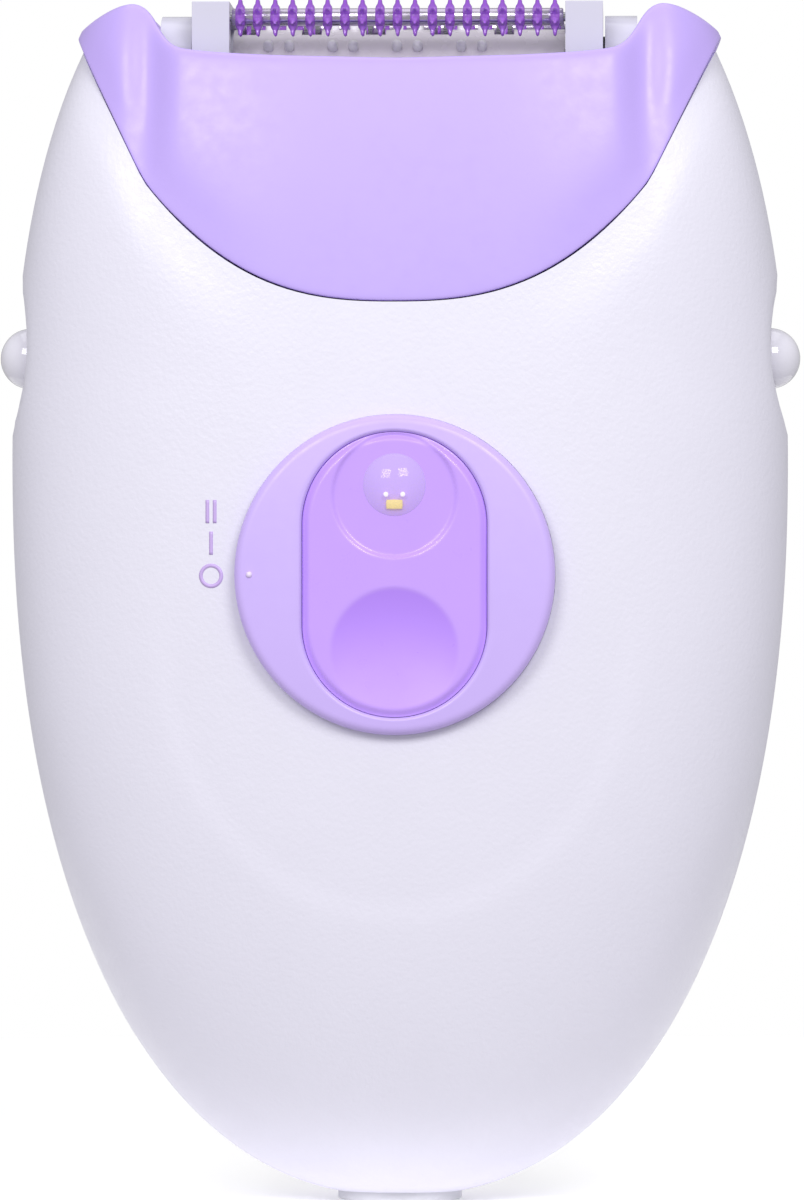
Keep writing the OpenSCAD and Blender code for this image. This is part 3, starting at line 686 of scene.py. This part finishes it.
def saddle_point(z, angle, side_x, side_y, inset=0.0):
    """A point of the saddle's skin; side_x and side_y are the signs of its quarter."""
    x = skin_x(z, angle, EAR_FLARE)
    y = half_depth(z, side_y < 0) * abs(math.sin(angle)) ** (2 / section_power(z))
    press = valley(x, z) + inset
    share = clamp01(abs(y) / half_depth(z, side_y < 0))
    return [side_x * (x - inset * (1 - share)), side_y * max(0.0, y - press * share), z]


def saddle_quarter(side_x, side_y):
    """Columns of points from the inner wall, over the rim and down the skin to the lower lip."""
    columns = []
    for angle in saddle_columns():
        top = solve_height(100, 117, lambda z: z < rim_z(skin_x(z, angle, EAR_FLARE)))
        low = solve_height(80, top, lambda z: z < split_z(skin_x(z, angle, EAR_FLARE)))
        low = min(low, top - 0.5)
        outer = saddle_point(top, angle, side_x, side_y)
        inner_y = max(0.0, abs(outer[1]) - SADDLE_WALL)
        corner_y = abs(skin_y(EAR_INNER_X, 113, side_y < 0, EAR_FLARE)) - SADDLE_WALL
        if abs(outer[0]) < EAR_INNER_X + 0.8:
            inner = [side_x * min(abs(outer[0]) * 0.985, EAR_INNER_X), side_y * inner_y, 0]
        else:
            share = clamp01(abs(outer[1]) / (corner_y + SADDLE_WALL))
            inner = [side_x * EAR_INNER_X, side_y * corner_y * share, 0]
        column = []
        for z in (98.5, 103, 107):
            column.append([inner[0], inner[1], z])
        inner_top = rim_z(inner[0]) - 0.7
        column.append([inner[0], inner[1], inner_top])
        for share in (0.1, 0.35, 0.65, 0.88):
            p = mix(inner, outer, share)
            column.append([p[0], p[1], rim_z(p[0])])
        rows = 9
        margin = min(0.55, (top - low) / 3)
        for k in range(rows + 1):
            z = top - margin + (low - top + 1.6 * margin) * k / rows
            column.append(saddle_point(z, angle, side_x, side_y))
        column.append(saddle_point(low, angle, side_x, side_y, 0.05))
        column.append(saddle_point(low, angle, side_x, side_y, 0.5))
        column.append(saddle_point(low, angle, side_x, side_y, 1.7))
        # the lip that reaches down behind the shell and closes the view through the gap
        column.append(saddle_point(low - 0.3, angle, side_x, side_y, 1.9))
        column.append(saddle_point(low - 1.3, angle, side_x, side_y, 1.9))
        columns.append(column)
    return columns


def build_saddle():
    """The lavender housing with two shields and two ears, as a subdivided cage."""
    loop = []
    for side_x, side_y, backwards in ((1, -1, False), (1, 1, True), (-1, 1, False), (-1, -1, True)):
        quarter = saddle_quarter(side_x, side_y)
        if backwards:
            quarter.reverse()
        loop += quarter[:-1]
    count = len(loop)
    height = len(loop[0])
    points = [p for column in loop for p in column]
    faces = []
    for c in range(count):
        d = (c + 1) % count
        for k in range(height - 1):
            faces.append([c * height + k, d * height + k, d * height + k + 1, c * height + k + 1])
    saddle = add_piece("saddle", points, faces, "head", finishes["saddle_lavender"],
                       ["saddle_housing"])
    add_modifier(saddle, "SUBSURF", levels=2, render_levels=2)


# ---------- dial ----------

LOOP_COUNT = 160
WINDOW_GAP = 0.09


def ring_depth(across, up):
    """Depth of the dial ring's domed face."""
    dome_r = DIAL_R - RING_EDGE
    return -(RING_CROWN - (RING_CROWN - RING_SHOULDER) * (math.hypot(across, up) / dome_r) ** 2)


def on_dial(loop, depth):
    """A flat loop placed on the dial; depth is a number or a function of (across, up)."""
    return [[u, depth(u, v) if callable(depth) else depth, DIAL_Z + v] for u, v in loop]


def build_dial_ring():
    """The domed ring round the window, with a rounded lip and a rounded outer edge."""
    width, height = (size + WINDOW_GAP for size in WINDOW_SIZE)
    dome_r = DIAL_R - RING_EDGE
    wall = oblong_loop(width, height, LOOP_COUNT)
    lip = oblong_loop(width + 0.3, height + 0.3, LOOP_COUNT)
    rim = oblong_loop(width + 0.6, height + 0.6, LOOP_COUNT)
    crown = circle_loop(dome_r, LOOP_COUNT)
    loops = [on_dial(wall, -WINDOW_BACK),
             on_dial(wall, lambda u, v: ring_depth(u, v) + 0.35),
             on_dial(lip, lambda u, v: ring_depth(u, v) + 0.1),
             on_dial(rim, ring_depth)]
    steps = 8
    for k in range(1, steps + 1):
        loops.append(on_dial([mix(a, b, k / steps) for a, b in zip(rim, crown)], ring_depth))
    for a in range(75, -1, -15):
        bend = math.radians(a)
        r = dome_r + RING_EDGE * math.cos(bend)
        y = -(RING_SHOULDER - RING_EDGE + RING_EDGE * math.sin(bend))
        loops.append(on_dial(circle_loop(r, LOOP_COUNT), y))
    loops.append(on_dial(circle_loop(DIAL_R, LOOP_COUNT), -RING_FOOT))
    loops.append(on_dial(circle_loop(dome_r, LOOP_COUNT), -RING_FOOT))
    points, faces = loft(loops)
    add_piece("dial_face", points, faces, "dial", finishes["dial_lavender"],
              ["dial_ring"])


# Heights of the lamp's dish and the thumb dimple from the dial's centre
DISH_Z = 7.5
DISH_R = 6.0
DIMPLE_Z = -7.3
DIMPLE_R = 6.2


def window_depth(u, v, edge):
    """Depth of the window's face at a distance edge inside its outline."""
    y = -WINDOW_FACE + 0.45 * (1 - smooth(edge / 0.8))
    dish = math.hypot(u, v - DISH_Z)
    y += 0.30 * (1 - smooth((dish - DISH_R + 0.35) / 0.35))
    dimple = math.hypot(u, v - DIMPLE_Z) / DIMPLE_R
    if dimple < 1:
        # steep at the top and running out at the bottom, where the thumb pushes
        slant = 0.55 + 0.45 * smooth((v - DIMPLE_Z + DIMPLE_R) / DIMPLE_R / 1.6)
        y += 0.95 * slant * (1 - dimple ** 2.2)
    return y


def build_window():
    """The tinted window with its rounded rim, the lamp's dish and the thumb dimple."""
    width, height = WINDOW_SIZE
    loops = [on_dial(oblong_loop(width, height, LOOP_COUNT), -WINDOW_BACK)]
    steps = 46
    for k in range(steps + 1):
        edge = width / 2 * (k / steps) ** 1.25
        loop = oblong_loop(width - 2 * edge, height - 2 * edge, LOOP_COUNT)
        loops.append(on_dial(loop, lambda u, v, edge=edge: window_depth(u, v, edge)))
    points, faces = loft(loops)
    add_piece("dial_window", points, faces, "dial", finishes["window_purple"],
              ["light_window"])


def paint_dimple_shade():
    """Painted shade in the thumb dimple: its colour is darker than the rest, most of all under its top
    edge, where the hollow is in shade under light from above.
    """
    tree = finishes["window_purple"].node_tree
    shader = tree.nodes["Principled BSDF"]
    place = tree.nodes.new("ShaderNodeTexCoord")
    apart = tree.nodes.new("ShaderNodeVectorMath")
    apart.operation = "DISTANCE"
    apart.inputs[1].default_value = (0, -WINDOW_FACE * MM, (DIAL_Z + DIMPLE_Z) * MM)
    axes = tree.nodes.new("ShaderNodeSeparateXYZ")
    tree.links.new(place.outputs["Object"], apart.inputs[0])
    tree.links.new(place.outputs["Object"], axes.inputs[0])
    inside = smooth_range(tree, apart.outputs["Value"], DIMPLE_R + 0.1, DIMPLE_R - 0.5)
    upper = smooth_range(tree, axes.outputs["Z"], DIAL_Z + DIMPLE_Z - DIMPLE_R, DIAL_Z - 1)
    dimple_shade = tree.nodes.new("ShaderNodeMath")
    dimple_shade.operation = "MULTIPLY"
    tree.links.new(inside, dimple_shade.inputs[0])
    tree.links.new(upper, dimple_shade.inputs[1])
    # the darker purple is painted shade, masked to the dimple and growing towards its top
    blend = tree.nodes.new("ShaderNodeMix")
    blend.data_type = "RGBA"
    blend.inputs["A"].default_value = (0.575, 0.355, 0.98, 1)
    blend.inputs["B"].default_value = (0.50, 0.27, 1.0, 1)
    tree.links.new(dimple_shade.outputs["Value"], blend.inputs["Factor"])
    tree.links.new(blend.outputs["Result"], shader.inputs["Base Color"])


def smooth_range(tree, value, none_at, full_at):
    """0 at the first size in millimetres and 1 at the second, with soft ends."""
    fade = tree.nodes.new("ShaderNodeMapRange")
    fade.interpolation_type = "SMOOTHSTEP"
    fade.inputs["From Min"].default_value = none_at * MM
    fade.inputs["From Max"].default_value = full_at * MM
    tree.links.new(value, fade.inputs["Value"])
    return fade.outputs["Result"]


def build_lamp():
    """The clear dome, the pale cup under it, and the yellow light source with two glowing white dots
    above it, which are painted highlights.
    """
    rings, count = 10, 48
    base_r, tip_y, base_y = 3.1, -19.7, -18.5
    ball_r = (base_r ** 2 + (base_y - tip_y) ** 2) / 2 / (base_y - tip_y)
    spread = math.asin(base_r / ball_r)
    loops = []
    for k in range(rings + 1):
        a = spread * (1 - k / rings) + 0.003
        loop = circle_loop(ball_r * math.sin(a), count)
        loops.append([[u, tip_y + ball_r * (1 - math.cos(a)), LED_Z + v] for u, v in loop])
    back = [[u, base_y + 0.1, LED_Z + v] for u, v in circle_loop(base_r, count)]
    points, faces = loft([back] + loops, close_ends=True)
    add_piece("lamp_dome", points, faces, "dial", finishes["lamp_clear"])

    # the pale cup that the lamp shines out of
    cup = satin_plastic("lamp_cup", (0.66, 0.48, 1.0), 0.3)
    loops = [[[u, y, LED_Z + v] for u, v in circle_loop(r, count)]
             for r, y in ((base_r + 0.25, base_y + 0.05), (base_r - 0.1, base_y + 0.12),
                          (1.9, base_y + 0.3), (0.02, base_y + 0.35))]
    points, faces = loft(loops)
    add_piece("lamp_cup", points, faces, "dial", cup)

    source, tree, shader = new_material("lamp_source", (0.95, 0.78, 0.08), 0.5,
                                        Emission_Strength=0.25)
    shader.inputs["Emission Color"].default_value = (1.0, 0.8, 0.05, 1)
    vary_colour(tree, shader, (0.95, 0.78, 0.08), 0.2, 0.4)
    loops = []
    for shrink, y in ((0.0, -18.3), (0.0, -18.85), (0.12, -18.95)):
        w, h = 0.75 - shrink, 0.42 - shrink
        loops.append([[u, y, LED_Z - 1.85 + v] for u, v in
                      ((-w, -h), (0, -h * 1.1), (w, -h), (w * 1.05, 0), (w, h), (0, h * 1.1), (-w, h),
                       (-w * 1.05, 0))])
    points, faces = loft(loops, close_ends=True)
    add_piece("lamp_source", points, faces, "dial", source)

    # two small white dots that glow though nothing lights them: painted highlights in the dome, shaped
    # as the contacts of the source
    contact, tree, shader = new_material("lamp_painted_highlight", (1.0, 1.0, 1.0), 0.3, Emission_Strength=0.35)
    shader.inputs["Emission Color"].default_value = (1, 1, 1, 1)
    vary_roughness(tree, shader, 0.25, 0.4, 0.2)
    for name, u in (("left", -0.8), ("right", 0.8)):
        loops = [[[u + a, y, LED_Z - 0.9 + b] for a, b in circle_loop(r, 16)]
                 for r, y in ((0.24, -18.5), (0.24, -19.1), (0.12, -19.2))]
        points, faces = loft(loops, close_ends=True)
        add_piece("lamp_painted_highlight_" + name, points, faces, "dial", contact)


def build_dial_dot():
    """The small raised dot that stands beside the mark in use, in a paler colour that is a painted
    highlight.
    """
    reach, r, count = DIAL_R - 1.45, 0.3, 20
    loops = []
    for a in range(0, 91, 15):
        bend = math.radians(a)
        loop = circle_loop(max(0.01, r * math.cos(bend)), count)
        y = ring_depth(-reach, 0) - r * math.sin(bend) + 0.02
        loops.append([[-reach + u, y, DIAL_Z + v] for u, v in loop])
    points, faces = loft(loops)
    # paler than the ring: a painted highlight on the raised dot
    pale = satin_plastic("dot_painted_highlight", (0.86, 0.74, 1.0), 0.3)
    add_piece("dial_dot", points, faces, "dial", pale)


# ---------- switch marks ----------

MARK_X = -17.5
MARK_STROKE = 0.35
OFF_Z = 60.4
ONE_Z = 63.5
TWO_Z = 66.5


def on_front(u, v):
    """A point just proud of the front shell."""
    proud = 0.03
    return [u, skin_y(u, v, True) - proud, v]


def build_marks():
    """The printed O, I and II beside the dial, as thin films on the skin."""
    ink = satin_plastic("mark_ink", (0.60, 0.44, 0.83), 0.4, 0.002)
    bar_h, apart, rows = 2.2, 0.35, 8
    bars = {"one": (MARK_X, ONE_Z),
            "two_left": (MARK_X - apart, TWO_Z),
            "two_right": (MARK_X + apart, TWO_Z)}
    for name, (x, z) in bars.items():
        points, faces = [], []
        for k in range(rows + 1):
            v = z + bar_h * (k / rows - 0.5)
            points += [on_front(x - MARK_STROKE / 2, v), on_front(x + MARK_STROKE / 2, v)]
            if k:
                faces.append([2 * k - 2, 2 * k - 1, 2 * k + 1, 2 * k])
        add_mark("mark_" + name, points, faces, ink)
    ring_r, count = 0.98, 48
    loops = [[on_front(MARK_X + u, OFF_Z + v) for u, v in circle_loop(r, count)]
             for r in (ring_r - MARK_STROKE / 2, ring_r + MARK_STROKE / 2)]
    points, faces = loft(loops)
    add_mark("mark_off", points, faces, ink)


def add_mark(name, points, faces, ink):
    """A printed film that faces forward and has a little thickness."""
    mark = add_piece(name, points, faces, "handle", ink)
    if mark.data.polygons[0].normal.y > 0:
        mark.data.flip_normals()
    add_modifier(mark, "SOLIDIFY", thickness=0.05 * MM, offset=-1)


# ---------- massage rollers and drum ----------

def radial_stud(outline, centre, turn, sides, slimness=1.0):
    """A stud that stands out from an axis along X: outline gives its radius at each distance."""
    out = Vector((0, math.cos(turn), math.sin(turn)))
    along = Vector((1, 0, 0))
    across = out.cross(along)
    loops = []
    for r, height in outline:
        ring = [out * height + along * u + across * v * slimness for u, v in circle_loop(r, sides)]
        loops.append([[centre[0] + p.x, centre[1] + p.y, centre[2] + p.z] for p in ring])
    return loft(loops, close_ends=True)


def build_roller(name, y_axis, body, node):
    """Rings of pointed bobbles along a bright sleeve."""
    # a bobble as (radius, distance from the axis), and a ring's hub as (along the axis, radius)
    spike = [(0.44, 0.85), (0.42, 1.05), (0.33, 1.22), (0.23, 1.38), (0.19, 1.62), (0.15, 1.84),
             (0.05, 1.95)]
    hub = [(-0.46, SLEEVE_R), (-0.4, 1.05), (-0.15, 1.16), (0.15, 1.16), (0.4, 1.05), (0.46, SLEEVE_R)]
    sides, slimness = 10, 0.85
    pitch = 2 * RING_REACH / (ROLLER_RINGS - 1)
    lofts = []
    for ring in range(ROLLER_RINGS):
        x = pitch * ring - RING_REACH
        loops = [[[x + u, y_axis + v, ROLLER_Z + w] for v, w in circle_loop(r, 32)] for u, r in hub]
        lofts.append(loft(loops))
        for step in range(ROLLER_SPIKES):
            turn = 2 * math.pi * (step + 0.5) / ROLLER_SPIKES
            lofts.append(radial_stud(spike, (x, y_axis, ROLLER_Z), turn, sides, slimness))
    points, faces = join_lofts(lofts)
    add_piece(name, points, faces, body, finishes["roller_purple"], [node])

    half_length = post_inner() - 0.2
    profile = ((-half_length, 0.5), (-half_length, SLEEVE_R - 0.1), (-half_length + 0.1, SLEEVE_R),
               (half_length - 0.1, SLEEVE_R), (half_length, SLEEVE_R - 0.1), (half_length, 0.5))
    loops = [[[x, y_axis + u, ROLLER_Z + v] for u, v in circle_loop(r, 40)] for x, r in profile]
    points, faces = loft(loops)
    sleeve = steel("sleeve_" + body, (0.62, 0.56, 0.70), 0.2, (1, 14, 14))
    add_piece(name + "_sleeve", points, faces, body, sleeve)


def build_pegs():
    """White pegs between the tweezers: glossy caps over those of the drum, and rows between them."""
    outline = ((0.49, 5.4), (0.49, 6.5), (0.4, 6.72), (0.15, 6.82))
    pitch, shift, lean = 6.2, 1.5, 50
    studs = []
    for row in range(4):
        for turn in (90 * (row + 1), 90 * (row + 1) + lean):
            for gap in range(4):
                middle = (gap - 1.5) * pitch + (row - 1.5) * shift
                studs += [radial_stud(outline, (middle + side, 0, DRUM_Z), math.radians(turn), 14)
                          for side in (-1, 1)]
    points, faces = join_lofts(studs)
    white = polished_plastic("peg_white", (0.93, 0.92, 0.96), 0.15)
    add_piece("drum_pegs", points, faces, "drum", white)


def build_button_springs():
    """Leaf springs that hang from the deck, straight, with close rows below a short knee, where the real
    springs go in with the release buttons.
    """
    low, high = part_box("button_springs")
    top, bottom, outside = high.z / MM, low.z / MM, high.x / MM
    thickness, width, steps = 0.3, 3, 24
    knee = top - 0.2
    for side, word in ((-1, "left"), (1, "right")):
        x = side * (outside - thickness / 2)
        rows = [top + (knee - top) * k / 4 for k in range(4)]
        rows += [knee + (bottom - knee) * k / steps for k in range(steps + 1)]
        loops = [[[x + u, v, z] for u, v in oblong_loop(thickness, width, 24)] for z in rows]
        points, faces = loft(loops, close_ends=True)
        leaf = make_piece(word + "_button_spring", points, faces, finishes["spring_steel"],
                          ["button_springs"])
        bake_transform(leaf)


def post_inner():
    """Distance from the middle to the inner face of the roller frame's posts, from the CAD."""
    low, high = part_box("roller_frame")
    return high.x / MM - POST_W


# ---------- studio ----------

def add_light(name, place, aim, size, power):
    """A soft box; place, aim and size are in metres and power in watts."""
    light = bpy.data.lights.new(name, "AREA")
    light.shape = "RECTANGLE"
    light.size, light.size_y = size
    light.energy = power
    holder = bpy.data.objects.new(name, light)
    holder.location = place
    holder.rotation_mode = "QUATERNION"
    holder.rotation_quaternion = (Vector(aim) - Vector(place)).to_track_quat("-Z", "Y")
    bpy.context.scene.collection.objects.link(holder)


def build_studio():
    """Two soft boxes in front and one above, white surroundings, and a plain pale floor."""
    middle = (0, 0, 0.06)
    add_light("soft_box_left", (-0.38, -0.90, 0.58), middle, (0.40, 0.40), 4.3)
    add_light("soft_box_right", (0.36, -0.88, 0.64), middle, (0.40, 0.40), 5.1)
    add_light("soft_box_top", (0.0, 0.1, 0.9), middle, (0.8, 0.8), 1.7)
    build_world(0.47)

    # the floor lies mostly behind the object, so that its front isn't lit from below
    floor_r, floor_back, sides = 0.15, 0.133, 64
    data = bpy.data.meshes.new("floor")
    data.from_pydata([(u, v + floor_back, 0) for u, v in circle_loop(floor_r, sides)], [],
                     [list(range(sides))])
    floor = bpy.data.objects.new("floor", data)
    bpy.context.scene.collection.objects.link(floor)
    white, tree, shader = new_material("floor_white", (0.93, 0.93, 0.93), 0.8, Emission_Strength=0.30)
    shader.inputs["Emission Color"].default_value = (1, 1, 1, 1)
    vary_roughness(tree, shader, 0.75, 0.85, 30)
    data.materials.append(white)


def build_world(strength):
    """White surroundings that light the object with this strength and look plain white."""
    world = bpy.data.worlds.new("studio")
    bpy.context.scene.world = world
    world.use_nodes = True
    tree = world.node_tree
    light = tree.nodes["Background"]
    light.inputs["Color"].default_value = (1, 1, 1, 1)
    light.inputs["Strength"].default_value = strength
    seen = tree.nodes.new("ShaderNodeBackground")
    seen.inputs["Color"].default_value = (1, 1, 1, 1)
    choose = tree.nodes.new("ShaderNodeMixShader")
    ray = tree.nodes.new("ShaderNodeLightPath")
    tree.links.new(ray.outputs["Is Camera Ray"], choose.inputs["Fac"])
    tree.links.new(light.outputs["Background"], choose.inputs[1])
    tree.links.new(seen.outputs["Background"], choose.inputs[2])
    tree.links.new(choose.outputs["Shader"], tree.nodes["World Output"].inputs["Surface"])


def build_camera():
    """A long lens, level with the middle of the body and slightly to its right, in metres."""
    distance, yaw, height, view_height, aside = 0.75, 1.6, 0.0581, 0.1164, 0.0002
    camera = bpy.data.cameras.new("camera")
    camera.lens = camera.sensor_width * distance / view_height
    camera.clip_start = 0.01
    holder = bpy.data.objects.new("camera", camera)
    turn = math.radians(yaw)
    holder.location = (distance * math.sin(turn) + aside, -distance * math.cos(turn), height)
    holder.rotation_euler = (math.radians(90), 0, turn)
    bpy.context.scene.collection.objects.link(holder)
    bpy.context.scene.camera = holder
    bpy.context.scene.view_settings.view_transform = "Standard"


paint_cad_nodes()
soften_cad_nodes()
build_shells()
build_saddle()
build_dial_ring()
build_window()
paint_dimple_shade()
build_lamp()
build_dial_dot()
build_marks()
build_roller("massage_roller_front", -ROLLER_Y, "front_massage", "front_roller")
build_roller("massage_roller_rear", ROLLER_Y, "rear_massage", "rear_roller")
build_pegs()
build_button_springs()
build_studio()
build_camera()
